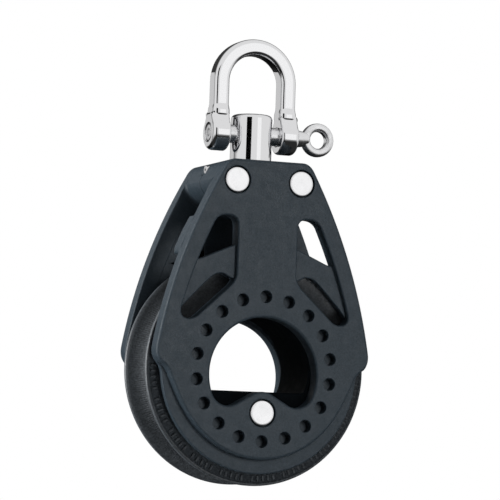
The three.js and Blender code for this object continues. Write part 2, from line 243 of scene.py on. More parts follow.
def wall(loop, rows, hole):
    """Rings of points down a wall. Row: (into, y), each one number or one number per point."""
    loop = counter_clockwise(np.asarray(loop, float))
    normals = left_normals(loop) * (-1 if hole else 1)
    rings = []
    for into, y in rows:
        into = np.broadcast_to(into, len(loop))[:, None]
        rings.append(flat_ring(loop + normals * into, y))
    return rings


def band(low, high, count):
    """Quads between two rings of `count` points, whose first points have these numbers."""
    quads = []
    for i in range(count):
        j = (i + 1) % count
        quads.append((low + i, low + j, high + j, high + i))
    return quads


def cap(ends, verts):
    """Triangles that fill the first ring of points, less the rings inside it."""
    flat = [i for ring in ends for i in ring]
    outlines = [[Vector((verts[i][0], verts[i][2], 0)) for i in ring] for ring in ends]
    return [tuple(flat[k] for k in triangle) for triangle in tessellate_polygon(outlines)]


def slab(walls, pits=()):
    """A closed shell from walls (lists of rings): the first is the outside, the rest are holes.

    A pit is a wall that ends in a floor of its own.
    """
    verts, faces, firsts, lasts = [], [], [], []
    for k, rings in enumerate([*walls, *pits]):
        count = len(rings[0])
        start = len(verts)
        for r, ring in enumerate(rings):
            verts.extend(tuple(p) for p in ring)
            if r:
                faces += band(start + (r - 1) * count, start + r * count, count)
        last = list(range(len(verts) - count, len(verts)))
        firsts.append(list(range(start, start + count)))
        if k < len(walls):
            lasts.append(last)
        else:
            faces.append(tuple(last))
    return verts, faces + cap(firsts, verts) + cap(lasts, verts)


ON_AXIS = 1e-6
LATHE_TURNS = {
    "X": lambda p: (p[2], p[1], p[0]),
    "Y": lambda p: (p[0], p[2], p[1]),
    "Z": lambda p: p,
}


def lathe(profile, segments, axis, centre=(0, 0, 0), closed=False):
    """A turned shell. profile: (radius, height) pairs from end to end; ends on the axis are poles."""
    verts, faces, rows = [], [], []
    for radius, height in profile:
        count = 1 if radius < ON_AXIS else segments
        rows.append(range(len(verts), len(verts) + count))
        for s in range(count):
            angle = 2 * math.pi * s / segments
            reach = 0 if count == 1 else radius
            verts.append((reach * math.cos(angle), reach * math.sin(angle), height))
    for low, high in zip(rows, rows[1:] + rows[:1] if closed else rows[1:]):
        if len(low) > 1 and len(high) > 1:
            faces += band(low[0], high[0], segments)
        elif len(high) > 1:
            faces += [(low[0], high[s], high[(s + 1) % segments]) for s in range(segments)]
        elif len(low) > 1:
            faces += [(low[s], low[(s + 1) % segments], high[0]) for s in range(segments)]
    turn = LATHE_TURNS[axis]
    return [tuple(a + b for a, b in zip(turn(p), centre)) for p in verts], faces


# ---- Outlines, as loops of (x, z) ----

SAME_POINT = 0.02


class Path:
    """An outline drawn point by point."""

    def __init__(self, x, z):
        self.points = [(x, z)]

    def line(self, x, z, step=1.5):
        x0, z0 = self.points[-1]
        count = max(1, int(math.hypot(x - x0, z - z0) / step))
        for i in range(1, count + 1):
            t = i / count
            self.points.append((x0 + (x - x0) * t, z0 + (z - z0) * t))
        return self

    def curve(self, cx, cz, x, z, count=12):
        """A curve to (x, z) that leaves and arrives along the lines to (cx, cz)."""
        x0, z0 = self.points[-1]
        for i in range(1, count + 1):
            t = i / count
            a, b, c = (1 - t) ** 2, 2 * t * (1 - t), t * t
            self.points.append((a * x0 + b * cx + c * x, a * z0 + b * cz + c * z))
        return self

    def arc(self, cx, cz, radius, start, end, count=16):
        for i in range(count + 1):
            angle = start + (end - start) * i / count
            self.points.append((cx + radius * math.cos(angle), cz + radius * math.sin(angle)))
        return self

    def loop(self, side=1):
        """The closed outline, without doubled points; side=-1 mirrors it to the left."""
        kept = []
        for x, z in self.points:
            if not kept or math.dist((side * x, z), kept[-1]) > SAME_POINT:
                kept.append((side * x, z))
        if math.dist(kept[0], kept[-1]) < SAME_POINT:
            kept.pop()
        return counter_clockwise(np.array(kept))


def circle(x, z, radius, count=48):
    angles = np.arange(count) * 2 * math.pi / count
    return np.stack([x + radius * np.cos(angles), z + radius * np.sin(angles)], axis=1)


def both_halves(points):
    """A whole outline from its right half, whose first and last points lie on the middle line."""
    return np.array(points + [(-x, z) for x, z in reversed(points[1:-1])])


def shoulder():
    """Half of the head's flat top and the rounded corner beside it."""
    path = Path(0, HEAD_TOP_Z)
    path.line(11.6, HEAD_TOP_Z)
    return path.curve(14.4, HEAD_TOP_Z, 16.1, 63.5, 12)


FOOT_R = 33.6
FACE_FOOT_R, FACE_CORNER_R = 29.0, 31.8
FOOT_START = math.radians(6)
FACE_FALL_ANGLE = 0.26
FOOT_STEPS = 70


def foot_point(radius, angle):
    """The point at an angle below the sheave's middle line, on its right."""
    return radius * math.cos(angle), -radius * math.sin(angle)


def cheek_edges():
    """The cheek's outline at its wall and at its face, point for point, as two loops.

    They are the same down to the widest point. Below it the wall follows the foot's radius, and
    the face falls back to a smaller one, which leaves a sunk band round the foot.
    """
    side = shoulder()
    side.curve(31.3, 36.5, 36.5, 6.5, 48)
    side.curve(37.1, 3.2, 35.2, 1, 12)
    corner = Path(*side.points[-1])
    corner.curve(32.4, -0.6, *foot_point(FACE_CORNER_R, FOOT_START), 10)
    face = side.points + corner.points[1:]
    side.curve(33.7, -0.5, *foot_point(FOOT_R, FOOT_START), 10)
    outer = side.points
    for i in range(1, FOOT_STEPS + 1):
        below = FOOT_START + (math.pi / 2 - FOOT_START) * i / FOOT_STEPS
        fall = math.exp(-(below - FOOT_START) / FACE_FALL_ANGLE)
        outer.append(foot_point(FOOT_R, below))
        face.append(foot_point(FACE_FOOT_R + (FACE_CORNER_R - FACE_FOOT_R) * fall, below))
    return both_halves(outer)[::-1], both_halves(face)[::-1]


OPENING_R, OPENING_Z = 18.4, -1.9
LOBE_R, LOBE_X, LOBE_Z = 5.8, 11.8, -6.3
BOSS_R = 6.85
BOTTOM_RIVET_Z = RIVET_CENTRES["rivet_bottom"].z


def opening_loop():
    """A cheek's centre opening: round above, with a lobe each side of the bottom rivet's boss."""
    apart = math.hypot(LOBE_X, LOBE_Z - BOTTOM_RIVET_Z)
    slope = math.atan2(LOBE_Z - BOTTOM_RIVET_Z, LOBE_X)
    tangent = slope + math.acos((BOSS_R + LOBE_R) / apart)
    meet = math.atan2(LOBE_Z - OPENING_Z, LOBE_X)
    path = Path(BOSS_R * math.cos(math.pi - tangent), BOTTOM_RIVET_Z + BOSS_R * math.sin(tangent))
    path.arc(0, BOTTOM_RIVET_Z, BOSS_R, math.pi - tangent, tangent, 18)
    path.arc(LOBE_X, LOBE_Z, LOBE_R, tangent - math.pi, meet, 24)
    path.arc(0, OPENING_Z, OPENING_R, meet, math.pi - meet, 80)
    path.arc(-LOBE_X, LOBE_Z, LOBE_R, math.pi - meet, 2 * math.pi - tangent, 24)
    return path.loop()


def pocket_loop(side):
    """The tall three-cornered pocket beside the cheek's middle."""
    path = Path(10.3, 45.3)
    path.curve(10.3, 48.8, 13.8, 48.8)
    path.curve(17.3, 48.8, 18.5, 46)
    path.curve(25.1, 32, 28.7, 18.6, 24)
    path.curve(29.3, 15, 26, 15.1, 10)
    path.curve(24, 15.2, 22.7, 16.6, 8)
    path.line(12.6, 25.9)
    path.curve(10.3, 28, 10.3, 30.8, 10)
    path.line(10.3, 45.3)
    return path.loop(side)


def web_loop(side):
    """The sunk web across a pocket, between the window above it and the slot below it."""
    path = Path(9.4, 39.9)
    path.line(10.3, 39.6)
    path.line(21.2, 34.9)
    path.curve(23.6, 33.9, 25.4, 34.9, 6)
    path.line(30.6, 20.6)
    path.line(28.6, 17.8)
    path.curve(26.6, 20.4, 24.6, 22.4, 6)
    path.line(19.2, 27.9)
    path.curve(15.4, 31.6, 12.6, 29.2, 8)
    path.line(9.4, 27.9)
    return path.loop(side)


def lid_loop(side):
    """The floor of a pocket whose upper part doesn't go through."""
    path = Path(9.8, 33)
    path.line(9.8, 45.3)
    path.curve(9.8, 49.3, 13.8, 49.3)
    path.curve(17.9, 49.3, 19.1, 46.3)
    path.line(24.6, 34)
    path.line(9.8, 33)
    return path.loop(side)


def head_loop():
    """The head's outline: the cheek's shoulders above, a shallow double arch below."""
    path = shoulder()
    path.curve(16.9, 62.1, 17.6, 60.6, 4)
    path.curve(16.8, 55.4, 9, 52.9, 16)
    path.curve(4.5, 51.5, 0, 51.5, 8)
    return counter_clockwise(both_halves(path.points))


def guard_loop():
    """The rib that keeps the line off the rim, inside the cheek's left edge."""
    path = Path(-23.9, 48.2)
    path.line(-27.9, 38.6)
    path.curve(-29, 35.4, -26.6, 35.6, 8)
    path.curve(-25.6, 35.7, -25, 37.2, 4)
    path.line(-22.2, 46.8)
    return path.loop()


# ---- Materials ----

def new_material(name, color, roughness, metallic=0.0, specular=0.5):
    material = bpy.data.materials.new(name)
    material.use_nodes = True
    shader = material.node_tree.nodes["Principled BSDF"]
    shader.inputs["Base Color"].default_value = (*color, 1)
    shader.inputs["Roughness"].default_value = roughness
    shader.inputs["Metallic"].default_value = metallic
    shader.inputs["Specular IOR Level"].default_value = specular
    return material, material.node_tree, shader


def object_noise(tree, scale, detail=3.0, roughness=0.5):
    coordinates = tree.nodes.new("ShaderNodeTexCoord")
    noise = tree.nodes.new("ShaderNodeTexNoise")
    noise.inputs["Scale"].default_value = scale
    noise.inputs["Detail"].default_value = detail
    noise.inputs["Roughness"].default_value = roughness
    tree.links.new(coordinates.outputs["Object"], noise.inputs["Vector"])
    return noise.outputs["Fac"]


def ramp(tree, value, low, high):
    """Turns noise into a colour, or a grey, between low and high."""
    node = tree.nodes.new("ShaderNodeValToRGB")
    for element, position, color in zip(node.color_ramp.elements, (0.3, 0.7), (low, high)):
        element.position = position
        element.color = (*color, 1)
    tree.links.new(value, node.inputs["Fac"])
    return node.outputs["Color"]


def bump(tree, shader, height, strength, distance):
    node = tree.nodes.new("ShaderNodeBump")
    node.inputs["Strength"].default_value = strength
    node.inputs["Distance"].default_value = distance
    tree.links.new(height, node.inputs["Height"])
    tree.links.new(node.outputs["Normal"], shader.inputs["Normal"])


def moulded_nylon(name, dark, light, roughness, specular):
    """Glass-filled nylon: faintly mottled, with the fine grain of a sparked mould."""
    material, tree, shader = new_material(name, dark, roughness, specular=specular)
    mottle = object_noise(tree, 1600, 4, 0.7)
    tree.links.new(ramp(tree, mottle, dark, light), shader.inputs["Base Color"])
    gloss = object_noise(tree, 420, 3)
    value = ramp(tree, gloss, (roughness - 0.06,) * 3, (roughness + 0.07,) * 3)
    tree.links.new(value, shader.inputs["Roughness"])
    grain = object_noise(tree, 3200, 4, 0.6)
    bump(tree, shader, grain, 0.5, 0.00015)
    return material


def steel(name, color, roughness, wave_scale, wave_strength, wave_height):
    """Stainless steel: smeared gloss over a faint waviness, whose height is in metres."""
    material, tree, shader = new_material(name, color, roughness, metallic=1.0)
    smear = object_noise(tree, 300, 4)
    value = ramp(tree, smear, (roughness * 0.7,) * 3, (roughness * 1.5,) * 3)
    tree.links.new(value, shader.inputs["Roughness"])
    bump(tree, shader, object_noise(tree, wave_scale, 2), wave_strength, wave_height)
    return material


def acetal(name):
    """The balls' plastic, very slightly mottled."""
    material, tree, shader = new_material(name, (0.10, 0.10, 0.105), 0.3)
    tint = ramp(tree, object_noise(tree, 500), (0.085, 0.087, 0.09), (0.115, 0.115, 0.12))
    tree.links.new(tint, shader.inputs["Base Color"])
    return material


BUFFED = (90, 0.05, 0.0002)
BRUSHED = (1800, 0.12, 0.00005)

cheek_nylon = moulded_nylon("cheek_nylon", (0.009, 0.0145, 0.019), (0.019, 0.0265, 0.034), 0.46, 0.13)
sheave_nylon = moulded_nylon("sheave_nylon", (0.004, 0.0055, 0.007), (0.030, 0.035, 0.040), 0.50, 0.15)
# Painted shade: the hub's nylon is made far darker and duller than the cheeks' to stand for the shade
# deep inside the bore.
hub_nylon_painted_shade = moulded_nylon("hub_nylon_painted_shade", (0.002, 0.0035, 0.005), (0.004, 0.006, 0.008), 0.6, 0.03)
ball_acetal = acetal("ball_acetal")
polished_steel = steel("polished_steel", (0.86, 0.86, 0.87), 0.05, *BUFFED)
satin_steel = steel("satin_steel", (0.86, 0.86, 0.87), 0.27, *BRUSHED)
rivet_steel = steel("rivet_steel", (0.90, 0.90, 0.91), 0.16, *BRUSHED)


# ---- The cheeks ----

FACE_Y, INNER_Y = -CHEEK_OUTER_Y, -CHEEK_INNER_Y
WEB_Y = FACE_Y + 2.2
BAND_Y = FACE_Y + 3.3
FACE_ROUND, BAND_ROUND, INNER_ROUND = 1.0, 0.5, 0.5
BAND_FILLET = 0.35
BAND_FULL_WIDTH = 1.5
INNER_ROUND_TOP_Z = 58


def plate_wall():
    """The plate's outer wall: down from the face, over the sunk band and on to the inner side.

    Where the band narrows to nothing, its fillet and its rounded edge fade out with it.
    """
    outer, top = cheek_edges()
    into_outer, into_top = left_normals(outer), left_normals(top)
    width = np.linalg.norm(outer - top, axis=1)
    share = smooth(width / BAND_FULL_WIDTH)
    rings = [flat_ring(top + into_top * a, FACE_Y + b) for a, b in rounding(FACE_ROUND, 6)]
    for i in range(4):
        angle = math.pi / 2 * i / 3
        out = BAND_FILLET * (1 - math.cos(angle)) * share[:, None]
        y = BAND_Y - BAND_FILLET * (1 - math.sin(angle))
        rings.append(flat_ring(top - into_top * np.minimum(out, width[:, None]), y))
    for a, b in rounding(BAND_ROUND, 4):
        rings.append(flat_ring(outer + into_outer * a * share[:, None], BAND_Y + b + 0.01))
    below_head = smooth((INNER_ROUND_TOP_Z - outer[:, 1]) / 3)
    for a, b in rounding(INNER_ROUND, 4, front=False):
        rings.append(flat_ring(outer + into_outer * (a * below_head)[:, None], INNER_Y - b))
    return rings


SHANK_HOLE_R = 2.6
RIVET_HEAD_DEPTH = 2.2


def rivet_hole(name):
    """A counterbore for a rivet's head, with a smaller hole on from its seat."""
    centre = RIVET_CENTRES[name]
    head_r = RIVET_HEAD_R + 0.4
    seat_y = RIVET_HEAD_DEPTH - RIVET_END_Y
    step = SHANK_HOLE_R - head_r
    rows = [(a, FACE_Y + b) for a, b in rounding(0.25, 3)]
    rows += [(0, seat_y), (step, seat_y), (step, INNER_Y)]
    return wall(circle(centre.x, centre.z, head_r), rows, True)


PITS = 18
PIT_PITCH_R, PIT_R, PIT_DEPTH = 23.2, 2.0, 4.0


def pit_walls():
    """A ring of blind pits in the face, each with a rounded mouth and a rounded floor edge."""
    floor_y = FACE_Y + PIT_DEPTH
    rows = [(a, FACE_Y + b) for a, b in rounding(0.2, 3)]
    rows += [(0, floor_y - 0.25), (-0.08, floor_y - 0.08), (-0.25, floor_y)]
    walls = []
    for i in range(PITS):
        angle = 2 * math.pi * i / PITS + math.pi / 2
        x, z = PIT_PITCH_R * math.cos(angle), PIT_PITCH_R * math.sin(angle)
        walls.append(wall(circle(x, z, PIT_R, 32), rows, True))
    return walls


GUARD_CREST_Y = -6.9


def guard_slab():
    """The line guard, whose crest slopes down towards the head."""
    loop = guard_loop()
    slope = 1.6 * smooth((loop[:, 1] - 43) / 6)
    rows = edge_profile(INNER_Y - 1, GUARD_CREST_Y, 0.1, 0.9)
    return slab([wall(loop, [(a, y - slope * (y > INNER_Y)) for a, y in rows], False)])


def cheek_shell(guarded, closed_side):
    """One cheek, drawn as the front one: its plate, two webs, and a lid and a guard if it has them."""
    walls = [plate_wall(), wall(opening_loop(), edge_profile(FACE_Y, INNER_Y, 0.9, 0.3), True)]
    for side in (-1, 1):
        walls.append(wall(pocket_loop(side), edge_profile(FACE_Y, INNER_Y, 0.6, 0.3, 4), True))
    walls += [rivet_hole(name) for name in RIVETS]
    shell = Shell().add(*slab(walls, pit_walls()))
    for side in (-1, 1):
        rows = edge_profile(WEB_Y, INNER_Y - 0.2, 0.45, 0.3, 4)
        shell.add(*slab([wall(web_loop(side), rows, False)]))
    if closed_side:
        rows = edge_profile(WEB_Y + 0.03, INNER_Y - 0.2, 0.1, 0.3)
        shell.add(*slab([wall(lid_loop(closed_side), rows, False)]))
    if guarded:
        shell.add(*guard_slab())
    return shell


HEAD_INSET = 0.02
HEAD_FILLET = 1.6
HEAD_UNDER_Z = 61.5
PARTING_HALF_GAP = 0.12


def head_shell():
    """Half of the head, from one cheek's plate to the parting face near the mid-plane."""
    loop = head_loop()
    under = smooth((HEAD_UNDER_Z - loop[:, 1]) / 3)
    rows = [(HEAD_INSET, INNER_Y - 2), (HEAD_INSET, INNER_Y - 0.4)]
    for i in range(5):
        angle = math.pi / 2 * i / 4
        out = HEAD_FILLET * (1 - math.sin(angle)) * under
        rows.append((HEAD_INSET - out, INNER_Y + HEAD_FILLET * (1 - math.cos(angle))))
    rows.append((HEAD_INSET, -1))
    rows += [(HEAD_INSET + a, -PARTING_HALF_GAP - b) for a, b in rounding(0.25, 3, front=False)]
    return Shell().add(*slab([wall(loop, rows, False)]))


def lock_hole():
    """The screw's hole, opened out to a small chamfer where it meets the head's slanting edge."""
    hole_r, mouth_r = LOCK_R + 0.12, LOCK_R + 0.75
    rows = [(0, -30), (mouth_r, -30), (mouth_r, -16.1), (hole_r, -15.5), (hole_r, -6), (0, -6)]
    shape = lathe(rows, 40, "X", (0, 0, LOCK_Z))
    return make_object("lock_hole_cutter", *shape, cheek_nylon, weighted=False)


CHEEKS = (
    ("front_cheek", cheek_shell(True, 0), head_shell()),
    ("back_cheek", cheek_shell(False, 1).turned(), head_shell().turned()),
)
for name, plate, head in CHEEKS:
    piece = make_object(name + "_plate", plate.verts, plate.faces, cheek_nylon)
    place(piece, "block", name)
    piece = make_object(name + "_head", head.verts, head.faces, cheek_nylon)
    cut_away(piece, lock_hole())
    place(piece, "block", name)


# ---- Hub, sheave and balls ----

BALL_R, BALL_PITCH_R = 3.175, 23.4
RACE_R, RACE_HALF = 3.275, 2.7
BORE_R, BORE_FLOOR_Z, BORE_CORNER = 17.9, -7.2, 1.5


def hub_race_rows():
    """(into, y) along the hub's outside: plain at both ends, the balls' race between."""
    low, high = HUB_LOW.y, HUB_HIGH.y
    rows = [(0.3, low), (0, low + 0.3)]
    for i in range(13):
        y = -RACE_HALF + 2 * RACE_HALF * i / 12
        radius = BALL_PITCH_R - math.sqrt(RACE_R ** 2 - y ** 2)
        rows.append((max(0, HUB_HIGH.x - radius), y))
    return rows + [(0, high - 0.3), (0.3, high)]


def bore_loop():
    """The hub's bore: round, with a flat floor over the bottom rivet."""
    reach = BORE_R - BORE_CORNER
    z = BORE_FLOOR_Z + BORE_CORNER
    floor_angle = math.asin(z / reach)
    x = reach * math.cos(floor_angle)
    path = Path(-x, BORE_FLOOR_Z)
    path.line(x, BORE_FLOOR_Z)
    path.arc(x, z, BORE_CORNER, -math.pi / 2, floor_angle, 8)
    path.arc(0, 0, BORE_R, floor_angle, math.pi - floor_angle, 90)
    path.arc(-x, z, BORE_CORNER, math.pi - floor_angle, 1.5 * math.pi, 8)
    return path.loop()


def hub_shape():
    """The hub, with its bore and the bottom rivet's hole."""
    ends = HUB_LOW.y, HUB_HIGH.y
    outside = wall(circle(0, 0, HUB_HIGH.x, 160), hub_race_rows(), False)
    bore = wall(bore_loop(), edge_profile(*ends, 0.6, 0.6, 4), True)
    hole = wall(circle(0, BOTTOM_RIVET_Z, 2.5), edge_profile(*ends, 0.2, 0.2, 2), True)
    return slab([outside, bore, hole])


# The hub takes the nylon darkened as painted shade for the inside of the bore.
place(make_object("hub_lining", *hub_shape(), hub_nylon_painted_shade), "block", "hub")


SHEAVE_SEGMENTS, GROOVE_RIBS = 1200, 300
RIB_DEPTH = 0.2
GROOVE_FLOOR_R, GROOVE_HALF, GROOVE_STEPS = 30.6, 9.2, 32
RIM_ROUND = 0.6


def flank_rows():
    """(radius, y, rib depth) up the front flank: bore, two steps with a sunk ring, rounded rim."""
    half = SHEAVE_HALF_WIDTH
    ledge, ring = half - 0.7, half - 0.45
    steps = [(25.3, half), (27.5, half), (28.2, ledge), (33.4, ledge), (33.8, ring), (36.3, ring)]
    rows = [(r, -y, 0.0) for r, y in [*steps, (36.7, half)]]
    for i in range(1, 6):
        angle = math.pi / 2 * i / 5
        r = SHEAVE_R - RIM_ROUND + RIM_ROUND * math.sin(angle)
        rows.append((r, -half + RIM_ROUND - RIM_ROUND * math.cos(angle), 0.0))
    return rows + [(SHEAVE_R, 1.5 - half, 0.0)]


def groove_rows():
    """(radius, y, rib depth) across the line's groove; its ribs fade out at both lips."""
    rows = []
    for i in range(GROOVE_STEPS + 1):
        y = GROOVE_HALF * (-1 + 2 * i / GROOVE_STEPS)
        share = abs(y) / GROOVE_HALF
        radius = GROOVE_FLOOR_R + (SHEAVE_R - 0.15 - GROOVE_FLOOR_R) * share ** 2.4
        rows.append((radius, y, float(RIB_DEPTH * smooth((1 - share) / 0.12))))
    return rows


def sheave_shape():
    """The sheave as a turned grid whose groove has fine ribs across it."""
    flank = flank_rows()
    rows = flank + groove_rows() + [(r, -y, depth) for r, y, depth in reversed(flank)]
    for i in range(9):
        y = RACE_HALF * (1 - 2 * i / 8)
        rows.append((BALL_PITCH_R + math.sqrt(RACE_R ** 2 - y ** 2), y, 0.0))
    angles = np.arange(SHEAVE_SEGMENTS) * 2 * math.pi / SHEAVE_SEGMENTS
    wave = 0.5 + 0.5 * np.cos(angles * GROOVE_RIBS)
    verts, faces = [], []
    for k, (radius, y, depth) in enumerate(rows):
        r = radius - depth * wave
        verts.extend(zip(r * np.cos(angles), np.full(SHEAVE_SEGMENTS, y), r * np.sin(angles)))
        following = (k + 1) % len(rows)
        faces += band(k * SHEAVE_SEGMENTS, following * SHEAVE_SEGMENTS, SHEAVE_SEGMENTS)
    return verts, faces


piece = make_object("sheave_wheel", *sheave_shape(), sheave_nylon, sharp_angle=50, weighted=False)
place(piece, "sheave", "sheave")


BARS, BARS_PER_GROUP = 120, 6
BAR_INNER_R, BAR_OUTER_R, BAR_HALF_WIDTH = 34.1, 36.0, 0.36


def bar_points(angle, levels):
    """A flange bar's corners, ring by ring. Level: (y, how far the ring is drawn in)."""
    c, s = math.cos(angle), math.sin(angle)
    points = []
    for y, inset in levels:
        near, far, half = BAR_INNER_R + inset, BAR_OUTER_R - inset, BAR_HALF_WIDTH - inset
        for r, w in ((near, -half), (far, -half), (far, half), (near, half)):
            points.append((c * r - s * w, y, s * r + c * w))
    return points


def flange_bars():
    """Plain raised bars on the sunk ring of each flange, with every sixth one left out."""
    shell = Shell()
    faces = [(0, 1, 2, 3), (8, 9, 10, 11), *band(0, 4, 4), *band(4, 8, 4)]
    for side in (-1, 1):
        base = side * (SHEAVE_HALF_WIDTH - 0.55)
        crest = side * (SHEAVE_HALF_WIDTH - 0.05)
        levels = ((base, 0), (crest - side * 0.1, 0), (crest, 0.12))
        for i in range(BARS):
            if i % BARS_PER_GROUP < BARS_PER_GROUP - 1:
                shell.add(bar_points(2 * math.pi * i / BARS, levels), faces)
    return shell


shell = flange_bars()
piece = make_object("sheave_flange_bars", shell.verts, shell.faces, sheave_nylon, weighted=False)
place(piece, "sheave", "sheave")


def ball_rows():
    angles = [math.pi * i / 16 for i in range(17)]
    return [(BALL_R * math.sin(a), -BALL_R * math.cos(a)) for a in angles]


for name in frame["nodes"]:
    if name.startswith("ball_"):
        shape = lathe(ball_rows(), 32, "Z", node_centre(name))
        piece = make_object("bearing_" + name, *shape, ball_acetal, weighted=False)
        place(piece, "balls", name)


# ---- Rivets, swivel post, washer and lock screw ----

def rivet_rows():
    """A rivet from end to end: at each end a flat head with a rounded rim and a faint dish."""
    end, rim, under, round_r = RIVET_END_Y, RIVET_HEAD_R, RIVET_END_Y - 1.6, 0.4
    rows = [(0, end - 0.06), (1.2, end - 0.03), (rim - 0.9, end)]
    for i in range(1, 6):
        angle = math.pi / 2 * i / 5
        r = rim - round_r + round_r * math.sin(angle)
        rows.append((r, end - round_r + round_r * math.cos(angle)))
    rows += [(rim, under + 0.1), (rim - 0.1, under), (2.3, under)]
    return [(r, -h) for r, h in rows] + [(r, h) for r, h in reversed(rows)]


for name in RIVETS:
    centre = RIVET_CENTRES[name]
    shape = lathe(rivet_rows(), 64, "Y", (centre.x, 0, centre.z))
    place(make_object(name + "_body", *shape, rivet_steel), "block", name)


def post_rows():
    """The post from its foot up: flange, thinner neck, locking groove, barrel, rounded top."""
    top, bottom, r = POST_HIGH.z, POST_LOW.z, POST_HIGH.x
    neck_r, groove_r, round_r = 4.5, r - 1.2, 1.4
    rows = [(0, bottom), (r - 0.3, bottom), (r, bottom + 0.3), (r, bottom + 1.9)]
    rows += [(r - 0.3, bottom + 2.2), (neck_r, bottom + 2.2), (neck_r, 62.2), (r, 62.2), (r, 63)]
    rows += [(groove_r, 63.2), (groove_r, 66), (r, 66.2), (r, 70), (r, 78)]
    rows.append((r, top - round_r - 0.3))
    for i in range(9):
        angle = math.pi / 2 * i / 8
        height = top - round_r + round_r * math.sin(angle)
        rows.append((r - round_r + round_r * math.cos(angle), height))
    return rows + [(3, top), (0, top)]


piece = make_object("swivel_post_barrel", *lathe(post_rows(), 96, "Z"), polished_steel)
place(piece, "swivel_post", "swivel_post")


def washer_rows():
    low, high = node_box("thrust_washer")
    edge, bore = 0.15, 4.8
    rows = [(bore, low.z + edge), (bore + edge, low.z), (high.x - edge, low.z), (high.x, low.z + edge)]
    return rows + [(r, low.z + high.z - h) for r, h in reversed(rows)]


piece = make_object("thrust_washer_ring", *lathe(washer_rows(), 80, "Z", closed=True), satin_steel)
place(piece, "swivel_post", "thrust_washer")


LOCK_END_X = -15.7
THREAD_PITCH, THREAD_DEPTH, THREAD_TURNS = 0.5, 0.22, 12
SOCKET_R = 0.55


def lock_screw_piece():
    """A set screw whose socketed end stands just inside the head's slanting edge."""
    end, tip = LOCK_END_X, LOCK_HIGH.x
    rows = [(0, end), (LOCK_R - 0.2, end), (LOCK_R, end + 0.2)]
    for i in range(THREAD_TURNS):
        start = end + 0.6 + i * THREAD_PITCH
        rows += [(LOCK_R, start), (LOCK_R - THREAD_DEPTH, start + THREAD_PITCH / 2)]
    rows += [(LOCK_R, end + 0.6 + THREAD_TURNS * THREAD_PITCH), (0.5, tip), (0, tip)]
    shape = lathe(rows, 40, "X", (0, 0, LOCK_Z))
    piece = make_object("lock_screw_body", *shape, satin_steel, weighted=False)
    rows = [(0, end - 1), (SOCKET_R, end - 1), (SOCKET_R, end + 1.4), (0, end + 1.6)]
    socket = lathe(rows, 6, "X", (0, 0, LOCK_Z))
    cut_away(piece, make_object("socket_cutter", *socket, satin_steel, weighted=False))
    return piece


place(lock_screw_piece(), "lock_screw", "lock_screw")


# ---- Shackle ----

BAR_WIDTH, BAR_DEPTH, BAR_CORNER = 5.3, 6.4, 1.5
LEG_X, LEG_FOOT_Z = 11.7, PIN_Z + 3
LEG_STEPS, CROWN_STEPS = 30, 48
COLLAR_LOW_Z, COLLAR_HIGH_Z = PIN_Z + 4.8, PIN_Z + 9.6
EAR_INNER_X = 8.95
EAR_NECK_HALF, EAR_NECK_Z = 3.3, PIN_Z + 7
EAR_TOUCH = math.radians(28)


def bar_section(width, depth, corner, per_corner=6):
    """A rounded rectangle, as (across, deep) points."""
    points = []
    for quarter, (sx, sy) in enumerate([(1, 1), (-1, 1), (-1, -1), (1, -1)]):
        cx, cy = sx * (width / 2 - corner), sy * (depth / 2 - corner)
        for i in range(per_corner):
            angle = math.pi / 2 * (quarter + i / (per_corner - 1))
            points.append((cx + corner * math.cos(angle), cy + corner * math.sin(angle)))
    return points


def bow_line():
    """The middle of the bow's bar from foot to foot, as (x, z, outward x, outward z)."""
    spring_z = BOW_HIGH.z - BAR_WIDTH / 2 - LEG_X
    line = [(-LEG_X, z, -1.0, 0.0) for z in np.linspace(LEG_FOOT_Z, spring_z, LEG_STEPS)]
    for i in range(1, CROWN_STEPS + 1):
        angle = math.pi * (1 - i / CROWN_STEPS)
        c, s = math.cos(angle), math.sin(angle)
        line.append((LEG_X * c, spring_z + LEG_X * s, c, s))
    down = np.linspace(spring_z, LEG_FOOT_Z, LEG_STEPS)[1:]
    return line + [(LEG_X, z, 1.0, 0.0) for z in down]


def bow_shell():
    """The bow: one bent bar that swells to a small collar above each ear, and the two ears."""
    line = bow_line()
    verts, faces = [], []
    for x, z, out_x, out_z in line:
        collar = smooth((COLLAR_HIGH_Z - z) / 2.4) * smooth((z - COLLAR_LOW_Z) / 1.4)
        size = BAR_WIDTH + 0.8 * collar, BAR_DEPTH + 1.2 * collar
        section = bar_section(*size, BAR_CORNER + 0.7 * collar)
        verts += [(x + out_x * across, deep, z + out_z * across) for across, deep in section]
    count = len(verts) // len(line)
    for r in range(len(line) - 1):
        faces += band(r * count, (r + 1) * count, count)
    faces += [tuple(range(count)), tuple(range(len(verts) - count, len(verts)))]
    shell = Shell().add(verts, faces)
    for side in (-1, 1):
        shell.add(*ear_shape(side))
    return shell


def ear_shape(side):
    """A round boss drawn out upwards into the leg, drilled for the pin."""
    touch_x, touch_z = EAR_R * math.cos(EAR_TOUCH), PIN_Z + EAR_R * math.sin(EAR_TOUCH)
    path = Path(-EAR_NECK_HALF, EAR_NECK_Z)
    path.curve(-EAR_NECK_HALF - 0.2, COLLAR_LOW_Z, -touch_x, touch_z, 10)
    path.arc(0, PIN_Z, EAR_R, math.pi - EAR_TOUCH, 2 * math.pi + EAR_TOUCH, 56)
    path.curve(EAR_NECK_HALF + 0.2, COLLAR_LOW_Z, EAR_NECK_HALF, EAR_NECK_Z, 10)
    path.line(-EAR_NECK_HALF, EAR_NECK_Z, 0.8)
    sides = EAR_INNER_X, EAR_OUTER_X
    outside = wall(path.loop(), edge_profile(*sides, 1.0, 1.7, 8), False)
    hole = wall(circle(0, PIN_Z, PIN_R + 0.12), edge_profile(*sides, 0.35, 0.35, 3), True)
    verts, faces = slab([outside, hole])
    return [(side * y, x, z) for x, y, z in verts], faces


shell = bow_shell()
piece = make_object("shackle_bow_forging", shell.verts, shell.faces, polished_steel, sharp_angle=50)
place(piece, "shackle", "shackle_bow")


